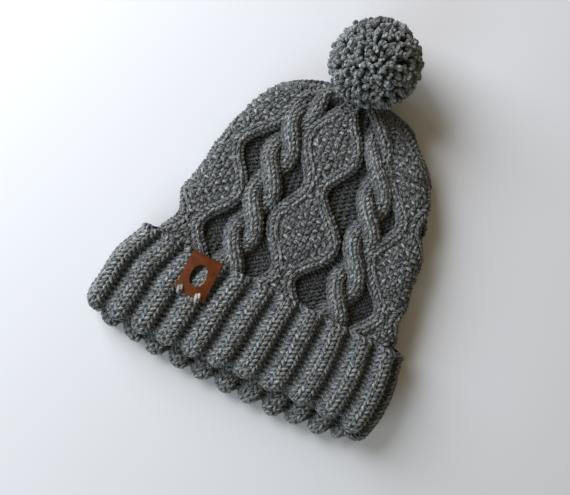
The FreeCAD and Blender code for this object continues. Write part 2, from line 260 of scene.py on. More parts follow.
def loops(edges, signs, rise, lean, depth, samples=8, flip=False):
    """One course of stitches. edges: where each stitch starts and the last one ends.

    signs is 1 for a knit stitch and -1 for a purl. Returns how far along the course, up the fabric and out
    of it each point of the yarn lies, and how thick the yarn is there."""
    edges, signs = np.array(edges, float), np.asarray(signs, float)
    count = len(signs)
    edges[1:-1] += rng.normal(0, WIDTH_JITTER, count - 1) * np.diff(edges)[1:]
    width = np.diff(edges)
    t = np.arange(samples) * TURN / samples
    along = edges[:-1, None] + width[:, None] * (t / TURN + lean * np.sin(2 * t))
    tall = rise * (1 + rng.normal(0, RISE_JITTER, count))[:, None]
    up = tall * np.cos(t) * (1 if flip else -1)
    before, after = np.roll(signs, 1), np.roll(signs, -1)
    start, end = ease(t / TURNOVER), ease((TURN - t) / TURNOVER)
    side = signs[:, None] * np.minimum(start, end)
    side = side + ((before + signs) / 2)[:, None] * (1 - start) * (t < math.pi)
    side = side + ((after + signs) / 2)[:, None] * (1 - end) * (t >= math.pi)
    face = -np.cos(2 * t) * side
    out = depth * face + rng.normal(0, OUT_JITTER, count)[:, None]
    thick = 1 + SWELL * face
    return along.ravel(), up.ravel(), out.ravel(), thick.ravel()


# ---------------- the hat's surfaces

# Y, half width, half thickness, X of the middle, Z of the middle of the fabric's mid surface.
CROWN_SHAPE = np.array([
    (56, 99, 7.0, 4.5, 16.4),
    (70, 100, 7.6, 5.0, 15.6),
    (84, 98.5, 8.6, 6.0, 14.0),
    (109, 95.5, 9.4, 3.5, 14.0),
    (139, 90.5, 9.6, 4.0, 14.2),
    (162, 86, 9.6, 2.5, 14.2),
    (186, 77.5, 9.2, 1.0, 13.8),
    (201, 70.5, 8.8, -1.0, 13.2),
    (216, 60, 7.8, -2.0, 12.0),
    (226, 49.5, 6.6, -1.5, 10.4),
    (234, 36.5, 5.2, 0.5, 8.4),
    (241, 7, 3.6, 2.0, 6.2),
])
CUFF_SHAPE = np.array([
    (-14, 117, 14.2, -3.0, 16.7),
    (0, 120, 14.4, -2.5, 16.7),
    (20, 121, 14.6, 0.0, 16.7),
    (47, 118.5, 14.6, 1.5, 16.7),
    (60, 114, 14.4, 3.0, 16.7),
    (72, 110, 14.0, 4.0, 16.7),
])
BAND_SHAPE = np.array([(y, 101.5, 5.6, 4.5, 16.7) for y in (0, 35, 70)])
CROWN_DOME = 3.0  # the crown's front rises this much more in the middle than at its sides
DOME_END = 240.0  # Y where that rise ends at the tip
DOME_FADE = 36.0  # and the length over which it shrinks


def girth(y, shape):
    half_width, half_thick = smooth(y, shape, 1), smooth(y, shape, 2)
    return 4 * (half_width - half_thick) + TURN * half_thick


def on_tube(part_around, y, height, shape, dome=0.0):
    """A point on a flattened tube: the share of the way around, from the middle of the front towards +X."""
    half_width, half_thick = smooth(y, shape, 1), smooth(y, shape, 2)
    flat = half_width - half_thick
    part = wrap(part_around)
    side, arc = np.sign(part), np.abs(part) * girth(y, shape)
    angle = np.clip((arc - flat) / half_thick, 0, math.pi)
    past = np.clip(arc - flat - math.pi * half_thick, 0, None)
    x = np.minimum(arc, flat) + half_thick * np.sin(angle) - past
    z = half_thick * np.cos(angle)
    out = np.stack([side * np.sin(angle), np.zeros_like(angle), np.cos(angle)], -1)
    rise = dome * np.cos(np.clip(x / half_width, 0, 1) * math.pi / 2) ** 1.5 * (angle < math.pi / 2)
    rise = rise * ease((DOME_END - y) / DOME_FADE)
    spot = np.stack([side * x + smooth(y, shape, 3), y, z + rise + smooth(y, shape, 4)], -1)
    return spot + out * height[:, None], out


# ---------------- the crown's pattern

FEATURES = 10  # five ropes and five columns of diamonds around the crown
DIAMOND_LENGTH = 70.5
DIAMOND_WAIST = 85.0  # Y of a waist in the middle of the front
WAIST_REACH = 0.125  # half width of a diamond's outline at its waist, as a share of a column's width
BELLY_REACH = 0.49  # how much wider it is half way along, as the same share
ROPE_TWIST = 34.0  # distance between a rope's crossings
COURSE = 3.65
YARN = 1.3
STITCH = 4.6  # width of a stitch
MOST_STITCHES = 90
EDGE_RISE = 7.0  # the courses are this much higher at the side edges than in the middle
RELIEF_START = 60.0  # Y where the pattern starts to rise out of the fabric
RELIEF_RAMP = 16.0  # and the length over which it does
FULL_THICKNESS = 8.6  # half thickness of the crown from which the pattern has its full height
GATHER_START = 218.0  # Y where the tip's gathers start to press the pattern flat
GATHER_RAMP = 14.0
GATHER_LOSS = 0.45  # share of its height that the pattern loses there
CROWN_AROUND = 400  # length around the crown, for slow unevenness along it

# Y, and X of the five columns that show on the front: diamonds, rope, diamonds, rope, diamonds.
# The knitting lies slightly twisted, so they aren't evenly spaced.
FRONT_COLUMNS = np.array([
    (60, -78, -36, 6, 54, 94),
    (90, -78, -37, 5, 52.5, 92),
    (120, -79, -37, 5, 50, 86),
    (155, -78, -39, -3, 44.5, 77),
    (190, -71, -39, -6, 34.5, 61),
    (215, -57, -33, -8, 22, 41),
    (230, -34, -23, -6, 14, 28),
    (241, -5, -2.5, 0, 2.5, 5),
])


def around_from_share(share, y):
    """Place around the crown, from the share of the pattern's ten columns that lies before it."""
    share, y = np.broadcast_arrays(np.asarray(share, float), np.asarray(y, float))
    size = girth(y, CROWN_SHAPE)
    middle = smooth(y, CROWN_SHAPE, 3)
    places = [(smooth(y, FRONT_COLUMNS, column) - middle) / size for column in range(1, 6)]
    places.append(places[0] + 1)
    shares = [-0.2, -0.1, 0.0, 0.1, 0.2, 0.8]
    turns = np.floor(share - shares[0])
    share = share - turns
    around = places[0]
    for k in range(5):
        t = np.clip((share - shares[k]) / (shares[k + 1] - shares[k]), 0, 1)
        around = around + (places[k + 1] - places[k]) * t
    return around + turns


ROUND_FROM = 185.0  # Y in the middle above which the courses gather towards the tip
ROUND_COURSES = 20


def course_tables():
    """Y of each course in the middle of the front, and at the side edges.

    At the edges the courses lie higher, and end up perpendicular to the crown's outline."""
    straight = np.arange(CROWN_SHAPE[0, 0], ROUND_FROM, COURSE)
    tip = CROWN_SHAPE[-1, 0]
    outline_y = np.linspace(ROUND_FROM + EDGE_RISE, tip, 200)
    travelled = travel(np.stack([smooth(outline_y, CROWN_SHAPE, 1), outline_y], -1))
    share = np.arange(ROUND_COURSES + 1) / ROUND_COURSES
    rounded_middle = ROUND_FROM + (tip - ROUND_FROM) * share
    rounded_edge = np.interp(share * travelled[-1], travelled, outline_y)
    return np.append(straight, rounded_middle), np.append(straight + EDGE_RISE, rounded_edge)


MIDDLE_Y, EDGE_Y = course_tables()


def edge_share(share):
    """0 in the middle of the front and the back, and 1 at the side edges."""
    return np.sin(share * TURN) ** 2


def course_y(level, share):
    """Y of the course that crosses the middle of the front at level."""
    return level + edge_share(share) * (np.interp(level, MIDDLE_Y, EDGE_Y) - level)


def level_at(y, share):
    """The opposite of course_y, for one share of the way around."""
    return np.interp(y, MIDDLE_Y + edge_share(share) * (EDGE_Y - MIDDLE_Y), MIDDLE_Y)


def column_width(y):
    return girth(y, CROWN_SHAPE) / FEATURES


def diamond_reach(y, spacing):
    """How far the diamond's outline is from the column's middle."""
    wave = (1 - np.cos(TURN * (y - DIAMOND_WAIST) / DIAMOND_LENGTH)) / 2
    return spacing * (WAIST_REACH + BELLY_REACH * wave)


def relief(y):
    """The pattern's height shrinks where the crown is thin, and where it is drawn together at its tip."""
    gathered = 1 - GATHER_LOSS * ease((y - GATHER_START) / GATHER_RAMP)
    thickness = np.clip(smooth(y, CROWN_SHAPE, 2) / FULL_THICKNESS, 0.3, 1)
    return thickness * ease((y - RELIEF_START) / RELIEF_RAMP) * gathered


def painted_shade_by_depth(out, middle, slope, lowest=0.3, highest=1.2):
    """Painted shade: yarn that lies deeper in the fabric is painted darker."""
    return np.clip(middle + slope * out, lowest, highest)


GROUND_DEPTH = 4.3  # the purl ground lies this far below the fabric's mean surface
CUSHION_RISE = 3.6  # height of the moss stitch above it at a diamond's outline
CUSHION_DOME = 3.1  # and how much higher it is in the diamond's middle


def ground_height(inside, dome):
    """Low purl ground between the columns, and cushions of moss stitch inside the diamonds."""
    return inside * (CUSHION_RISE + CUSHION_DOME * dome) - GROUND_DEPTH


def dome_at(nearest, reach):
    """1 in the middle of a diamond and 0 at its outline."""
    return np.sqrt(np.clip(1 - (nearest / np.maximum(reach, 1)) ** 2, 0, 1))


def ground_fields(share, row_y):
    """For a course at row_y: the diamond's reach, the distance to its middle, the place around and Y."""
    y = course_y(row_y, share)
    spacing = column_width(y)
    around = around_from_share(share, y)
    position = share * FEATURES / 2
    nearest = np.abs(position - np.round(position)) * 2 * spacing
    return diamond_reach(row_y, spacing), nearest, around, y


def crown_ground_course(row_y, count, index):
    """One course: its path, the way out of the fabric, and the yarn's radius and painted light and shade."""
    edges = np.arange(count + 1) / count
    middles = (edges[:-1] + edges[1:]) / 2
    reach, nearest, around, y = ground_fields(middles, row_y)
    moss = np.where((np.arange(count) + index) % 2 == 0, 0.8, -1.1)
    signs = np.where(nearest < reach - 2.0, moss, -0.8)
    along, up, out, thick = loops(edges, signs, rise=0.85 * COURSE, lean=0.18, depth=1.3)
    reach, nearest, around, y = ground_fields(along, row_y)
    inside = ease((reach - nearest) / 6)
    height = ground_height(inside, dome_at(nearest, reach))
    height = height + 0.6 * wobble(around * CROWN_AROUND, y, 9, 1.0)
    path, normal = on_tube(around, y + up, height * relief(y) + out, CROWN_SHAPE, CROWN_DOME)
    # Painted shade: the low purl ground between the columns is painted darker than the moss inside the
    # diamonds, and deeper yarn darker still.
    shade = (0.36 + 0.32 * inside) * painted_shade_by_depth(out, 0.84, 0.34)
    return path, normal, YARN * thick * (1 + 0.1 * inside), shade


GRAIN_RISE = 2.5  # height of a moss-stitch grain's arch
GRAIN_SINK = 0.9  # how far its ends go down into the ground
GRAIN_YARN = 1.6
GRAIN_MARGIN = 3.2  # grains stay this far inside a diamond's outline
GRAIN_JITTER = 0.35  # unevenness of their places, in mm
GRAIN_TILT = 0.4  # and of their directions, in radians


def moss_grains(skein, row_y, count, index):
    """The bumps of the moss stitch, each a short arch of yarn that lies over the course below."""
    middles = (np.arange(count) + 0.5) / count
    reach, nearest, around, y = ground_fields(middles, row_y)
    every_other = (np.arange(count) + index) % 2 == 1
    shown = (nearest < reach - GRAIN_MARGIN) & every_other & (row_y > RELIEF_START + 2)
    t = np.linspace(-1, 1, 6)
    arch = 1 - t * t
    for i in np.flatnonzero(shown):
        size = girth(y[i : i + 1], CROWN_SHAPE)[0]
        half = 0.5 * size / count * rng.uniform(0.95, 1.25)
        tilt = rng.normal(0.0, GRAIN_TILT)
        x = around[i] + (half * t * math.cos(tilt) + rng.normal(0, GRAIN_JITTER)) / size
        up = y[i] + half * t * math.sin(tilt) + 0.8 * arch + rng.normal(0, GRAIN_JITTER)
        base = ground_height(1.0, dome_at(nearest[i], reach[i])) * relief(up)
        height = base + GRAIN_RISE * arch - GRAIN_SINK + rng.normal(0, 0.2)
        path, normal = on_tube(x, up, height, CROWN_SHAPE, CROWN_DOME)
        thick = (GRAIN_YARN - 0.5 * t * t) * rng.uniform(0.88, 1.12)
        # Painted light and shade: a grain is painted lighter at the top of its arch and darker where its
        # ends go down into the ground.
        skein.add(path, normal, thick, 0.55 + 0.6 * arch, caps=True)


def crown_ground(names, material):
    """The purl ground and the moss stitch, as loops that run all the way around, one course at a time."""
    skeins = [Skein(name) for name in names]
    rows = MIDDLE_Y[1:-1]
    breaks = np.linspace(rows[0] - 1, rows[-1] + 1, len(names) + 1)
    for index, row_y in enumerate(rows):
        size = girth(np.array([row_y]), CROWN_SHAPE)[0]
        count = FEATURES * max(1, round(min(MOST_STITCHES, size / STITCH) / FEATURES))
        path, out, thick, shade = crown_ground_course(row_y, count, index)
        skein = skeins[min(int(np.searchsorted(breaks, row_y) - 1), len(names) - 1)]
        skein.add(path, out, thick, shade, closed=True)
        moss_grains(skein, row_y, count, index)
    pieces = [skein.build(material) for skein in skeins]
    return pieces + [fuzz("crown_fibres", skeins, material)]


STRIP_COURSE = 3.6  # height of a course along the ropes and the diamonds' lines
STRIP_YARN = 1.36
STRIP_SINK = 3.5  # how far the ends of a strip's loops go down into the ground
STRIP_END = 238.0  # Y where the strips run into the gathered tip
FULL_COLUMN = 33.0  # width of a column that has room for all of a strip's wales
LEAST_ROOM = 0.42  # share of a strip's width that is left at the tip


def strip(skein, index, course_line, wale, wales, ridge):
    """A raised line of knit wales in one of the crown's columns, with fewer wales where there is less room.

    course_line(y) gives the distance from the column's middle in mm, and the height of the line's top.
    wale: width of a wale. ridge: radius of the line's round top."""
    # The middle of the front or of the back, whichever the column is nearer to.
    origin = round(2 * index / FEATURES) / 2

    def line_at(y):
        beside, height = course_line(y)
        return (around_from_share(index / FEATURES, y) - origin) * girth(y, CROWN_SHAPE) + beside, height

    y = np.arange(RELIEF_START, STRIP_END, 0.5)
    across, _ = line_at(y)
    travelled = travel(np.stack([across, y], -1))
    room = np.clip(column_width(y) / FULL_COLUMN, LEAST_ROOM, 1)
    for place in np.arange(0, travelled[-1], STRIP_COURSE):
        here_room = np.interp(place, travelled, room)
        count = max(1, round(wales * here_room))
        half = wale * wales * here_room / 2
        top = ridge * here_room
        edges = np.linspace(-half, half, count + 1)
        along, up, out, thick = loops(edges, np.ones(count), rise=0.88 * STRIP_COURSE, lean=0.31, depth=0.85)
        along = np.concatenate([[-half - 0.3], along[1:], [half + 0.3]])
        up = np.concatenate([[up[1]], up[1:], [up[-1]]])
        out = np.concatenate([[-STRIP_SINK], out[1:], [-STRIP_SINK]])
        row_y = np.interp(place + up, travelled, y)
        here, height = line_at(row_y)
        ahead, _ = line_at(row_y + 0.5)
        slope = unit(np.stack([ahead - here, np.full_like(here, 0.5)], -1))
        angle = along / top
        shift = (top + out) * np.sin(angle)
        rise = (top + out) * np.cos(angle) - top
        x = here + shift * slope[:, 1]
        yy = row_y - shift * slope[:, 0]
        level = height * relief(yy) + rise
        path, normal = on_tube(origin + x / girth(yy, CROWN_SHAPE), yy, level, CROWN_SHAPE, CROWN_DOME)
        # Painted shade: the yarn is painted darker on the flanks of the line's round top, where a rope's
        # strand lies low under the other, at the loops' ends that go down into the ground, and where it lies
        # deeper.
        shade = (0.3 + 0.7 * np.cos(angle)) * (0.8 + 0.2 * np.clip(height / 5, 0, 1.4))
        shade = shade * np.concatenate([[0.6], painted_shade_by_depth(out[1:-1], 0.84, 0.42, 0.4), [0.6]])
        skein.add(path, normal, STRIP_YARN * np.concatenate([[0.8], thick[1:], [0.8]]), shade)


ROPE_REACH = 7.7  # how far a strand swings to each side of the rope's middle
ROPE_LEVEL = 3.8  # mean height of a strand's top
ROPE_LIFT = 3.9  # how far above and below that it crosses the other strand
ROPE_START = 63.0  # level of a rope's first crossing
RIGHT_ROPE_START = 64.2  # the same for the rope to the right of the front's middle


def rope(index, name, material):
    """A cable of two strands that cross over each other, the upper one always leaning to the left."""
    skein = Skein(name)
    first = RIGHT_ROPE_START if index == 1 else ROPE_START
    for turn in (0, math.pi):
        def course_line(y, turn=turn):
            phase = math.pi * (level_at(y, index / FEATURES) - first) / ROPE_TWIST + turn
            reach = np.minimum(ROPE_REACH, 0.23 * column_width(y))
            return reach * np.cos(phase), ROPE_LEVEL + ROPE_LIFT * np.sin(phase)
        strip(skein, index, course_line, wale=5.6, wales=3, ridge=5.9)
    return skein.build(material)


def diamond_lines(index, name, material):
    """The two raised lines that part and meet again along a column, and enclose its diamonds."""
    skein = Skein(name)
    for side in (-1, 1):
        def course_line(y, side=side):
            reach = diamond_reach(level_at(y, index / FEATURES), column_width(y))
            return side * reach, np.full_like(y, 3.4)
        strip(skein, index, course_line, wale=6.7, wales=2, ridge=5.3)
    return skein.build(material)


# ---------------- the cuff

RIBS = 24
RIB_START = 0.0275  # place of one rib's middle around the cuff
KNIT_SHARE = 0.325  # share of a rib and its gutter that each of the two knit wales takes
RIB_RISE = 7.4  # height of a rib over the gutters
GUTTER_DEPTH = 5.2  # the gutters lie this far below the fabric's mean surface
CUFF_TOP = 68.5
FOLD_RADIUS = 5.5
CUFF_COURSES = 17  # courses between the cast-on edge and the fold
FOLD_COURSES = 6  # and those that go around the fold
CUFF_YARN = 1.38
FRONT_FOLD = 1.6  # Y of the front layer's fold in the middle
FRONT_WAVE = 4.0  # how much higher it lies to the right of that, and lower to the left
BACK_FOLD = -3.0  # Y of the back layer's fold at the sides
BACK_DROP = 13.5  # how much lower it hangs in the middle
FOLD_TURN = (0.19, 0.27)  # shares of the way around between which the front's fold becomes the back's
CUFF_AROUND = 500  # length around the cuff, for slow unevenness along it


def fold_line(part):
    """Y of the folded edge. The back layer's fold lies lower than the front layer's."""
    part = wrap(part)
    along = part * CUFF_AROUND
    at_back = ease((np.abs(part) - FOLD_TURN[0]) / (FOLD_TURN[1] - FOLD_TURN[0]))
    from_middle = np.clip((0.5 - np.abs(part)) / 0.25, 0, 1)
    back = BACK_FOLD - BACK_DROP * (1 - from_middle ** 3) + 2.2 * wobble(along, 0, 5.5, 2.2)
    front = FRONT_FOLD + FRONT_WAVE * np.sin(1.7 * part * TURN) + 0.7 * wobble(along, 0, 13, 0.4)
    return front * (1 - at_back) + np.minimum(back, front) * at_back


def rib_ridge(part):
    """1 along the middle of each rib and 0 in the gutters: round ribs with steep walls."""
    beside = np.abs(wrap((part - RIB_START) * RIBS)) * 2
    return (1 - 0.36 * np.minimum(beside / 0.62, 1) ** 2) * ease((0.84 - beside) / 0.22)


def rib_height(part):
    """Height of the fabric over its mean surface: ridges of two knit wales with deep gutters between."""
    return RIB_RISE * rib_ridge(part) - GUTTER_DEPTH


def rib_edges():
    """Where each stitch of a course starts, around the cuff, and whether it is knit or purl."""
    purl_share = 0.5 - KNIT_SHARE
    starts = np.array([-KNIT_SHARE, 0, KNIT_SHARE, KNIT_SHARE + purl_share])
    edges = (np.arange(RIBS)[:, None] + starts).ravel() / RIBS + RIB_START
    return np.append(edges, edges[0] + 1), np.tile([1, 1, -1, -1], RIBS)


def widen(part):
    """The ribs on the right of the front lie further apart than the others."""
    part = wrap(part)
    return part + 0.0145 * np.sin(np.clip(part / 0.42, 0, 1) * math.pi) ** 2


TAG_DROP = 2.2  # the tag hangs this much lower on the soft cuff than on the plain CAD one


def press_under_tag(spot):
    """The leather tag squeezes the fabric that it is folded over, less so further beside it."""
    low, high = node_box("leather_tag")
    low[1] -= TAG_DROP
    outside = np.maximum(np.maximum(low[:2] - spot[:, :2], spot[:, :2] - high[:2]), 0)
    beside, beyond = outside[:, 0], outside.max(-1)
    spot[:, 1] = np.minimum(spot[:, 1], high[1] - TAG_DROP - 0.7 + 1.2 * beside)
    outer = spot[:, 2] > low[2] - 5
    spot[:, 2] = np.where(outer, np.minimum(spot[:, 2], high[2] - 2.3 + 0.9 * beyond), spot[:, 2])
    spot[:, 2] = np.where(outer, np.maximum(spot[:, 2], low[2] + 2.6 - 2.5 * beyond), spot[:, 2])
    return spot


def cuff_point(part, down, out):
    """down is the distance from the cast-on edge, along the fabric, as a share of the way to the fold."""
    rib = rib_height(part)
    part = widen(part)
    fold = fold_line(part)
    length = CUFF_TOP - fold - FOLD_RADIUS
    travelled = down * (CUFF_TOP - fold)
    past = np.clip(travelled - length, 0, None)
    angle = np.clip(past / FOLD_RADIUS, 0, math.pi)
    up_inside = np.clip(past - math.pi * FOLD_RADIUS, 0, None)
    y = CUFF_TOP - np.minimum(travelled, length) - FOLD_RADIUS * np.sin(angle) + up_inside
    depth = FOLD_RADIUS * (1 - np.cos(angle))
    lift = rib * (1 + 0.1 * wobble(part * CUFF_AROUND, y, 17, 0.9)) + out
    spot, normal = on_tube(part, y - lift * np.sin(angle), -depth + lift * np.cos(angle), CUFF_SHAPE)
    normal = normal * np.cos(angle)[:, None] - np.sin(angle)[:, None] * np.array([0, 1.0, 0])
    return press_under_tag(spot), unit(normal)


def cast_on_edge(name, material):
    """The cord that the cast-on loops make along the cuff's free edge."""
    skein = Skein(name)
    stitches = RIBS * 4
    samples = 10
    angle = np.arange(stitches * samples) / samples * TURN
    part = RIB_START + angle / TURN / stitches
    path, out = cuff_point(part, -0.006 - 0.017 * np.cos(angle), 1.7 + 1.2 * np.sin(angle))
    skein.add(path, out, 1.25, 0.95, closed=True)
    return skein.build(material)


def cuff(names, material):
    """The cuff from its cast-on edge down, around the fold and a little way up inside."""
    skeins = [Skein(name) for name in names]
    edges, signs = rib_edges()
    courses = CUFF_COURSES + FOLD_COURSES
    for course in range(courses):
        along, up, out, thick = loops(edges, signs, rise=0.93, lean=0.31, depth=1.15, samples=10, flip=True)
        path, normal = cuff_point(along, (course + 0.4 - up) / CUFF_COURSES, out)
        # Painted shade: the gutters between the ribs are painted darker than the ribs, and deeper yarn
        # darker still.
        shade = (0.46 + 0.58 * rib_ridge(along)) * painted_shade_by_depth(out, 0.78, 0.36, 0.4)
        skein = skeins[course * len(names) // courses]
        skein.add(path, normal, CUFF_YARN * thick, shade, closed=True)
    pieces = [skein.build(material) for skein in skeins]
    return pieces + [fuzz("cuff_fibres", skeins, material)]


def band(name, material):
    """The ribbing under the cuff, which is stretched flatter than the cuff's."""
    skein = Skein(name, 5)
    edges, signs = rib_edges()
    for row_y in np.arange(7.5, 62, 3.9):
        along, up, out, thick = loops(edges, signs, rise=3.5, lean=0.3, depth=0.7)
        path, normal = on_tube(along, row_y + up, 0.28 * rib_height(along) + out, BAND_SHAPE)
        # Painted shade: the gutters of the band's ribbing are painted darker than its ribs.
        skein.add(path, normal, YARN * thick, 0.45 + 0.4 * rib_ridge(along), closed=True)
    return skein.build(material)


# ---------------- the pom-pom

POM_MIDDLE = np.array([-5.4, 258.3, 37.8])
POM_RADIUS = 35.4
POM_AXIS = np.array([-0.221, 0.520, 0.825])  # from the knot to the pom-pom's middle
POM_STRANDS = 1020  # two-ply strands that show
INNER_STRANDS = 420  # plain ones below them, which close the gaps
INNER_DEPTH = 6.0  # how much shorter those are
TRIMMED = 7.0  # how much shorter the strands on the knot's side are
PLY_BULGE = 0.42  # how far a ply's middle is from the strand's, as a share of the strand's radius
PLY_SIZE = 0.66  # radius of a ply as a share of the strand's
PLY_TURN = 2.4  # how far the plies turn around each other from the strand's root to its tip
# Places along a strand from its root to its tip, and its radius and painted light and shade there: painted
# shade at the root deep in the pom-pom, a painted highlight at the tip.
STRAND_SHARE = np.array([0, 0.45, 0.75, 0.93, 1.0])
STRAND_THICK = np.array([1.5, 1.85, 2.4, 2.3, 0.95])
STRAND_SHADE = np.array([0.16, 0.24, 0.55, 1.0, 1.42])


def even_directions(count):
    """Directions spread evenly over a sphere, along a spiral from pole to pole."""
    i = np.arange(count) + 0.5
    polar = np.arccos(1 - 2 * i / count)
    turn = math.pi * (1 + math.sqrt(5)) * i
    return np.stack([np.cos(turn) * np.sin(polar), np.sin(turn) * np.sin(polar), np.cos(polar)], -1)


def pom_strands(skein, count, reach, spread, plies):
    """Cut ends of yarn that point outwards from the pom-pom's middle, each bent a little to one side.

    On the knot's side they are shorter, which leaves room for the pom-pom to lean over the crown."""
    for way in unit(even_directions(count) + rng.normal(0, 0.035, (count, 3))):
        shorter = TRIMMED * ease((-way @ POM_AXIS - 0.3) / 0.45)
        tip = reach - shorter + np.clip(rng.normal(-0.4, 1.2), -4, 1.4)
        lean = unit(way + rng.normal(0, spread, 3))
        root, elbow = way * (tip - 13), way * (tip - 6)
        end = elbow + lean * 6
        t = STRAND_SHARE[:, None]
        path = root * (1 - t) ** 2 + 2 * elbow * t * (1 - t) + end * t ** 2
        side = unit(np.cross(way, ASIDE))
        up = np.cross(side, way)
        thick = STRAND_THICK * rng.uniform(0.86, 1.14)
        # Painted shade at the root and painted highlight at the tip, each strand a little lighter or darker
        # at random.
        shade = STRAND_SHADE * rng.uniform(0.75, 1.15)
        first = rng.uniform(0, TURN)
        for ply in range(plies):
            turn = first + PLY_TURN * t + ply * TURN / plies
            bulge = PLY_BULGE * thick[:, None] * (np.cos(turn) * side + np.sin(turn) * up)
            place = path + POM_MIDDLE + bulge * (plies > 1)
            size = thick * (PLY_SIZE if plies > 1 else 1.0) * rng.uniform(0.9, 1.1)
            ply_shade = shade * rng.uniform(0.85, 1.1)
            skein.add(place, np.broadcast_to(side, path.shape), size, ply_shade, caps=True, shadow=0)


def pom(name, material):
    skein = Skein(name)
    pom_strands(skein, POM_STRANDS, POM_RADIUS, spread=0.34, plies=2)
    pom_strands(skein, INNER_STRANDS, POM_RADIUS - INNER_DEPTH, spread=0.2, plies=1)
    return [skein.build(material), fuzz("pom_fibres", [skein], material, count=3600, length=3.4)]


# ---------------- lengths of plied yarn

TAIL_YARN = 0.9  # radius of the gathering yarn and of the woven-in ends
PLY_START = np.array([0.31, 0.17, 0.93])  # the plies start their turn at a right angle to this


def plied(node, path, radius, material, pitch=9.0, plies=2, shade=0.95, sides=7):
    """A length of loose yarn: thinner plies twisted around a path. pitch: length of one turn."""
    skein = Skein(node + "_yarn", sides)
    radius = np.broadcast_to(radius, len(path))
    along = unit(np.gradient(path, axis=0))
    side = unit(np.cross(along, PLY_START))
    up = np.cross(side, along)
    length = travel(path)
    for ply in range(plies):
        angle = (length / pitch * TURN + ply * TURN / plies)[:, None]
        bulge = 0.47 * radius[:, None] * (np.cos(angle) * side + np.sin(angle) * up)
        # A little painted shade darkens the flanks of each ply.
        skein.add(path + bulge, up, 0.58 * radius, shade, caps=True, shadow=0.15)
    return skein.build(material)


def woven_in_end(node, material):
    """Loose yarn along Y through a straight CAD length, slightly wavy."""
    low, high = node_box(node)
    t = np.linspace(0, 1, 60)
    path = np.repeat((low + high)[None] / 2, len(t), 0)
    path[:, 1] = low[1] + (high[1] - low[1]) * t
    path[:, 0] += 0.4 * np.sin(t * 9)
    return plied(node, path, TAIL_YARN, material)


def gathering_yarn(node, material):
    """Two rounds of yarn, which run through the crown's last stitches."""
    low, high = node_box(node)
    size = (high[0] - low[0]) / 2 - TAIL_YARN
    turn = np.linspace(0, 2 * TURN, 90)[:, None]
    ways = np.concatenate([np.cos(turn), 0.14 * np.sin(turn / 2), np.sin(turn)], -1)
    return plied(node, (low + high) / 2 + size * ways, TAIL_YARN, material)


def stitch_yarn(node, shade, material):
    """A thick pale stitch over the tag's lower edge, with both ends pulled down into the ribs."""
    low, high = node_box(node)
    t = np.linspace(0, 1, 40)
    x = (low[0] + high[0]) / 2 - 1.4 + 1.2 * t
    y = high[1] - 1.6 - (high[1] - low[1] - 1.6) * t
    z = TAG_FACE - 4.1 + 5.4 * np.sin(math.pi * t) ** 0.6 - 0.8 * t
    radius = 1.3 + 1.35 * np.sin(math.pi * t)
    path = np.stack([x, y, z], -1)
    return plied(node, path, radius, material, pitch=15.0, plies=3, shade=shade, sides=8)


def knot_yarn(node, material):
    """A small knot: yarn wound over itself in all directions."""
    low, high = node_box(node)
    size = (high - low).min() / 2 - 0.5
    turn = np.linspace(0, 6 * TURN, 150)
    tilt = 0.37 * turn
    ways = np.stack([np.cos(turn) * np.cos(tilt), np.sin(turn), np.cos(turn) * np.sin(tilt)], -1)
    skein = Skein(node + "_yarn", 7)
    skein.add((low + high) / 2 + size * ways, ways, 0.8, caps=True)
    return skein.build(material)


# ---------------- the leather tag

LEATHER = 1.4  # thickness of the leather
TAG_GRID = 0.5  # size of the tag's mesh squares
TAG_FACE = 35.3  # Z of the middle of the front flap's leather
TAG_BACK = 27.6  # Z of the middle of the back flap's leather
TAG_BACK_END = 50.0  # Y of the back flap's lower edge
TAG_BEND = (TAG_FACE - TAG_BACK) / 2  # radius of the bend over the cuff's edge
TAG_CURVE = 0.8  # how far the flaps' side edges bend towards the cuff
BEND_START = 1.6  # the bend starts this far below the CAD tag's upper edge
CORNER = 1.6  # size of the front flap's worn corners
WINDOW = (6.25, 9.0)  # half width and half length of the oval window
WINDOW_Y = 54.6
WINDOW_SNAP = 0.055  # mesh points this near to the window's outline are moved onto it


def strap_point(x, s, front, low_y, half):
    """Where a point of the flat strap lies once the strap is folded. front: length before the bend."""
    angle = np.clip((s - front) / TAG_BEND, 0, math.pi)
    past = np.clip(s - front - math.pi * TAG_BEND, 0, None)
    y = low_y + np.minimum(s, front) + TAG_BEND * np.sin(angle) - past
    z = TAG_BACK + TAG_BEND * (1 + np.cos(angle))
    z = z - TAG_CURVE * (x / half) ** 2 * np.cos(angle) + 0.15 * np.sin(s / 3.1 + x / 4)
    return np.stack([x, y, z], -1)


def grid_faces(rows, columns, open_at):
    """The squares of a grid of points, without those that lie wholly in the opening."""
    corner = np.arange(rows * columns).reshape(rows, columns)
    rings = np.stack([corner[:-1, :-1], corner[:-1, 1:], corner[1:, 1:], corner[1:, :-1]], -1)
    rings = rings.reshape(-1, 4)
    return rings[~open_at[rings].all(-1)].tolist()


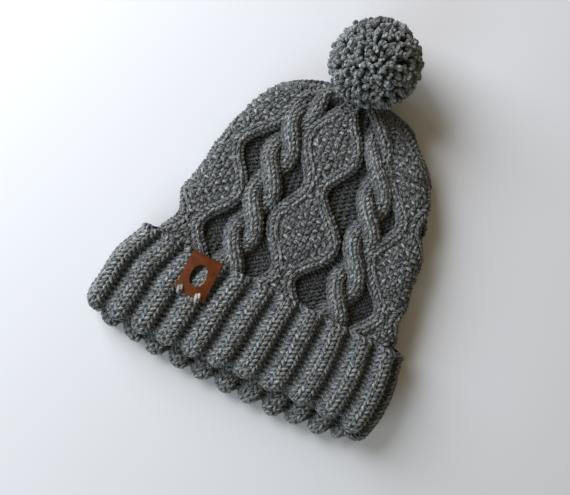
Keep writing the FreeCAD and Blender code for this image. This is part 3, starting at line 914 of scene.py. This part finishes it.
def leather_tag(name, leather, raw_edge):
    """A strap of leather with an oval window, folded over the cuff's free edge."""
    low, high = node_box("leather_tag")
    low[1] -= TAG_DROP + 0.6
    high[1] -= TAG_DROP
    half = (high[0] - low[0]) / 2
    front = high[1] - BEND_START - low[1]
    length = 2 * front + low[1] - TAG_BACK_END + math.pi * TAG_BEND
    xs = np.linspace(-half, half, round(2 * half / TAG_GRID) + 1)
    ss = np.linspace(0, length, round(length / TAG_GRID) + 1)
    x, s = [grid.ravel() for grid in np.meshgrid(xs, ss)]
    x = x * (1 - 0.045 * np.clip(1 - s / CORNER, 0, None) ** 2)
    u, v = x / WINDOW[0], (s + low[1] - WINDOW_Y) / WINDOW[1]
    reach = np.hypot(u, v)
    near = np.abs(reach - 1) < WINDOW_SNAP
    x = np.where(near, u / reach * WINDOW[0], x)
    s = np.where(near, v / reach * WINDOW[1] + WINDOW_Y - low[1], s)
    points = strap_point(x, s, front, low[1], half) + [(high[0] + low[0]) / 2, 0, 0]
    mesh = bpy.data.meshes.new(name)
    mesh.from_pydata((points * MM).tolist(), [], grid_faces(len(ss), len(xs), near | (reach < 1)))
    mesh.polygons.foreach_set("use_smooth", np.ones(len(mesh.polygons), bool))
    mesh.materials.append(leather)
    mesh.materials.append(raw_edge)
    item = add_object(name, mesh)
    shell = item.modifiers.new("thickness", "SOLIDIFY")
    shell.thickness = LEATHER * MM
    shell.offset = 0
    shell.material_offset_rim = 1
    soften = item.modifiers.new("worn edges", "BEVEL")
    soften.width = 0.28 * MM
    soften.segments = 2
    soften.angle_limit = math.radians(50)
    return item


# ---------------- materials

def new_material(name):
    material = bpy.data.materials.new(name)
    material.use_nodes = True
    tree = material.node_tree
    return material, tree, tree.nodes["Principled BSDF"]


def set_inputs(tree, node, values):
    """Gives a node's inputs their values. Each is a plain value or the socket that it comes from."""
    for label, value in values.items():
        if isinstance(value, bpy.types.NodeSocket):
            tree.links.new(value, node.inputs[label])
        else:
            node.inputs[label].default_value = value


def add_node(tree, kind, **settings):
    """A node with its settings. A setting that is named like an input of the node sets that input."""
    node = tree.nodes.new(kind)
    for key, value in settings.items():
        label = key.replace("_", " ").title()
        if label in node.inputs:
            set_inputs(tree, node, {label: value})
        else:
            setattr(node, key, value)
    return node


def add_math(tree, operation, *values):
    node = add_node(tree, "ShaderNodeMath", operation=operation)
    set_inputs(tree, node, dict(enumerate(values)))
    return node.outputs[0]


def add_ramp(tree, factor, stops):
    """A colour ramp. stops: place and colour of each of its two stops."""
    ramp = add_node(tree, "ShaderNodeValToRGB", fac=factor)
    for element, (place, colour) in zip(ramp.color_ramp.elements, stops):
        element.position = place
        element.color = (*colour, 1)
    return ramp.outputs["Color"]


def multiply_colours(tree, first, *others):
    for other in others:
        colours = {"factor": 1, "a": first, "b": other}
        mix = add_node(tree, "ShaderNodeMix", data_type="RGBA", blend_type="MULTIPLY", **colours)
        first = mix.outputs["Result"]
    return first


def add_texture(tree, kind, **settings):
    """A texture that is laid out in the hat's own space."""
    place = add_node(tree, "ShaderNodeTexCoord")
    return add_node(tree, kind, vector=place.outputs["Object"], **settings)


def add_bump(tree, height, strength, distance):
    bump = add_node(tree, "ShaderNodeBump", height=height, strength=strength, distance=distance)
    return bump.outputs["Normal"]


def grey(value):
    return (value, value, value)


PLY_PITCH = 11.0  # length of yarn in which its plies make one turn
FIBRE_ACROSS = 1.5  # how finely the fibres' streaks divide the yarn's girth
FIBRE_ALONG = 0.16  # and its length, where they are stretched out
WOOL_ROUGHNESS = 0.92


def fibre_space(tree):
    """The turn of the plies at each point of the yarn, and a space that is stretched along the fibres."""
    yarn = add_node(tree, "ShaderNodeUVMap", uv_map="twist")
    split = add_node(tree, "ShaderNodeSeparateXYZ", vector=yarn.outputs["UV"])
    around, along = split.outputs["X"], split.outputs["Y"]
    turn = add_math(tree, "MULTIPLY_ADD", along, TURN / PLY_PITCH, add_math(tree, "MULTIPLY", around, TURN))
    x = add_math(tree, "MULTIPLY", add_math(tree, "COSINE", turn), FIBRE_ACROSS)
    y = add_math(tree, "MULTIPLY", add_math(tree, "SINE", turn), FIBRE_ACROSS)
    z = add_math(tree, "MULTIPLY", along, FIBRE_ALONG)
    return turn, add_node(tree, "ShaderNodeCombineXYZ", x=x, y=y, z=z).outputs["Vector"]


def wool(name, dark, light):
    """Marled two-ply wool, darkened by the painted light and shade that Skein stores with the yarn. Its
    fibres and plies follow the yarn, through the map that Skein lays out.
    """
    material, tree, shader = new_material(name)
    turn, fibre = fibre_space(tree)
    streaks = add_node(tree, "ShaderNodeTexNoise", vector=fibre, scale=1.6, detail=4.0, roughness=0.62)
    marl = add_ramp(tree, streaks.outputs["Fac"], [(0.38, dark), (0.62, light)])
    patches = add_texture(tree, "ShaderNodeTexNoise", scale=230.0, detail=3.0)
    patch = add_ramp(tree, patches.outputs["Fac"], [(0.36, grey(0.72)), (0.64, grey(1.12))])
    # The painted light and shade that Skein stores at each point of the yarn.
    shade = add_node(tree, "ShaderNodeAttribute", attribute_name="shade")
    plies = add_math(tree, "SINE", add_math(tree, "MULTIPLY", turn, 2.0))
    # Painted shade in the grooves between the two plies.
    ply_groove_shade = add_math(tree, "MULTIPLY_ADD", plies, 0.13, 0.9)
    ridges = add_math(tree, "MULTIPLY_ADD", streaks.outputs["Fac"], 1.6, plies)
    set_inputs(tree, shader, {
        "Base Color": multiply_colours(tree, marl, patch, shade.outputs["Fac"], ply_groove_shade),
        "Normal": add_bump(tree, ridges, 0.75, 0.0005),
        "Roughness": WOOL_ROUGHNESS,
        "Specular IOR Level": 0.15,
        "Sheen Weight": 0.2,
        "Sheen Roughness": 0.5,
    })
    return material


def hidden_wool(name, dark, light):
    """The same wool for the plain lengths inside the pom-pom, which have no map of their own."""
    material, tree, shader = new_material(name)
    fibres = add_texture(tree, "ShaderNodeTexNoise", scale=900.0, detail=3.0)
    set_inputs(tree, shader, {
        "Base Color": add_ramp(tree, fibres.outputs["Fac"], [(0.35, dark), (0.65, light)]),
        "Normal": add_bump(tree, fibres.outputs["Fac"], 0.6, 0.0003),
        "Roughness": WOOL_ROUGHNESS,
    })
    return material


def leather(name, dark, light, grain):
    """Smooth tanned leather with worn patches and fine pores. grain: how deep the pores are."""
    material, tree, shader = new_material(name)
    patches = add_texture(tree, "ShaderNodeTexNoise", scale=130.0, detail=5.0, roughness=0.6).outputs["Fac"]
    cells = add_texture(tree, "ShaderNodeTexVoronoi", scale=1500.0).outputs["Distance"]
    tan = add_ramp(tree, patches, [(0.3, dark), (0.72, light)])
    pores = add_ramp(tree, cells, [(0.0, grey(0.8)), (0.55, grey(1.05))])
    set_inputs(tree, shader, {
        "Base Color": multiply_colours(tree, tan, pores),
        "Normal": add_bump(tree, add_math(tree, "ADD", cells, patches), grain, 0.0003),
        "Roughness": add_math(tree, "MULTIPLY_ADD", patches, 0.35, 0.38),
        "Specular IOR Level": 0.18,
    })
    return material


grey_wool = wool("grey_wool", (0.024, 0.023, 0.020), (0.52, 0.545, 0.53))
pom_wool = wool("pom_wool", (0.068, 0.069, 0.063), (0.47, 0.505, 0.49))
pale_wool = wool("pale_wool", (0.42, 0.41, 0.38), (0.72, 0.70, 0.66))
inner_wool = hidden_wool("inner_wool", (0.07, 0.07, 0.066), (0.25, 0.25, 0.24))
brown_leather = leather("brown_leather", (0.086, 0.019, 0.0030), (0.170, 0.041, 0.0060), 0.35)
raw_leather = leather("raw_leather", (0.30, 0.17, 0.10), (0.50, 0.33, 0.21), 0.7)


# ---------------- the pieces

def place_pieces(pieces, body, node):
    """Fixes new pieces to a body, and hides the CAD node that they stand for."""
    for piece in pieces:
        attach(piece, body)
        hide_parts(node)


def make_cuff_and_band():
    pieces = cuff(["cuff_upper_courses", "cuff_lower_courses", "cuff_fold"], grey_wool)
    pieces.append(cast_on_edge("cuff_cast_on_edge", grey_wool))
    place_pieces(pieces, "cuff", "turned_up_cuff")
    place_pieces([band("band_ribbing", grey_wool)], "hat", "ribbed_band")


def make_crown():
    levels = ("lower", "middle", "upper", "tip")
    pieces = crown_ground([f"crown_ground_{level}" for level in levels], grey_wool)
    for index in range(0, FEATURES, 2):
        pieces.append(diamond_lines(index, f"diamond_lines_{index // 2 + 1}", grey_wool))
    for index in range(1, FEATURES, 2):
        pieces.append(rope(index, f"rope_cable_{index // 2 + 1}", grey_wool))
    place_pieces(pieces, "hat", "knitted_crown")


def make_pom():
    pieces = pom("pom_strands", pom_wool)
    place_pieces(pieces, "pom", "pom_pom")
    for piece in pieces:
        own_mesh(piece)


def make_tag():
    tag = leather_tag("leather_strap_tag", brown_leather, raw_leather)
    place_pieces([tag], "cuff", "leather_tag")
    # Painted shade: the left stitch is painted darker than the right one, as it lies in shade.
    for side, shade in (("left", 0.62), ("right", 0.95)):
        stitch = f"tag_stitch_{side}"
        place_pieces([stitch_yarn(stitch, shade, pale_wool)], "cuff", stitch)


def make_ties():
    """The small lengths of yarn that shut the crown, fasten the pom-pom and finish the knitting."""
    for node, body in (("pom_neck_knot", "tie"), ("tie_anchor_knot", "hat")):
        place_pieces([knot_yarn(node, grey_wool)], body, node)
    gathering = gathering_yarn("crown_gathering_yarn", grey_wool)
    place_pieces([gathering], "hat", "crown_gathering_yarn")
    for node, body in (("cast_on_tail", "cuff"), ("fastened_off_tail", "hat")):
        place_pieces([woven_in_end(node, grey_wool)], body, node)
    for node in ("pom_binding_yarn", "tie_tails_inside"):
        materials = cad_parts[node].data.materials
        materials.clear()
        materials.append(inner_wool)


# Each piece draws its unevenness from the same random numbers, so their order decides how they look.
make_cuff_and_band()
make_crown()
make_pom()
make_tag()
make_ties()


# ---------------- stage, light and camera

FLOOR = (0.84, 0.84, 0.84, 1)
BACKDROP = (0.52, 0.52, 0.53, 1)
FADE_FROM = 0.7  # distance from the hat, in metres, where the floor starts to fade into the backdrop
FADE_TO = 1.9
WINDOW_LIGHT = (0.86, 0.90, 1.0)
ROOM_LIGHT = (0.66, 0.83, 1.0)
FILL_LIGHT = (1, 0.84, 0.58, 1)
AIM = (0, 0.1, 0)  # the middle of the hat, in metres


def show_to_camera(tree, usual, seen, share):
    """Shows the camera a share of a shader that lights nothing. share: a number or a socket."""
    path = add_node(tree, "ShaderNodeLightPath")
    factor = add_math(tree, "MULTIPLY", path.outputs["Is Camera Ray"], share)
    mix = add_node(tree, "ShaderNodeMixShader")
    set_inputs(tree, mix, {0: factor, 1: usual.outputs[0], 2: seen.outputs[0]})
    output = next(node for node in tree.nodes if node.type.startswith("OUTPUT"))
    set_inputs(tree, output, {"Surface": mix.outputs["Shader"]})


def stage():
    """A plain pale floor that fades into the backdrop far away from the hat."""
    bpy.ops.mesh.primitive_plane_add(size=40, location=AIM)
    floor = bpy.context.object
    floor.name = "floor"
    material, tree, shader = new_material("floor")
    set_inputs(tree, shader, {"Base Color": FLOOR, "Roughness": 0.7})
    spot = add_node(tree, "ShaderNodeNewGeometry")
    distance = add_node(tree, "ShaderNodeVectorMath", operation="LENGTH", vector=spot.outputs["Position"])
    fade = {"value": distance.outputs["Value"], "from_min": FADE_FROM, "from_max": FADE_TO}
    far = add_node(tree, "ShaderNodeMapRange", interpolation_type="SMOOTHSTEP", **fade)
    backdrop = add_node(tree, "ShaderNodeEmission", color=BACKDROP)
    show_to_camera(tree, shader, backdrop, far.outputs["Result"])
    floor.data.materials.append(material)


def area_light(name, spot, size, power, colour):
    data = bpy.data.lights.new(name, "AREA")
    data.size = size
    data.energy = power
    data.color = colour
    item = add_object(name, data)
    item.location = spot
    item.rotation_euler = (Vector(AIM) - Vector(spot)).to_track_quat("-Z", "Y").to_euler()


def fill_light():
    """Warm light from all around. The camera itself sees a plain pale backdrop in its place."""
    world = bpy.data.worlds.new("world")
    bpy.context.scene.world = world
    world.use_nodes = True
    tree = world.node_tree
    fill = tree.nodes["Background"]
    set_inputs(tree, fill, {"Color": FILL_LIGHT, "Strength": 0.19})
    show_to_camera(tree, fill, add_node(tree, "ShaderNodeBackground", color=BACKDROP), 1)


def camera():
    """Looks straight down, turned so that the hat's tip leans to the right."""
    data = bpy.data.cameras.new("camera")
    data.lens = 50
    item = add_object("camera", data)
    item.location = (-0.003, 0.104, 0.638)
    item.rotation_euler = (0, 0, math.radians(27.3))
    bpy.context.scene.camera = item


stage()
area_light("window", (-1.0, 0.47, 0.7), 0.88, 22, WINDOW_LIGHT)
area_light("room", (-0.5, -1.15, 0.7), 1.0, 9.5, ROOM_LIGHT)
fill_light()
camera()
bpy.context.scene.view_settings.view_transform = "Standard"
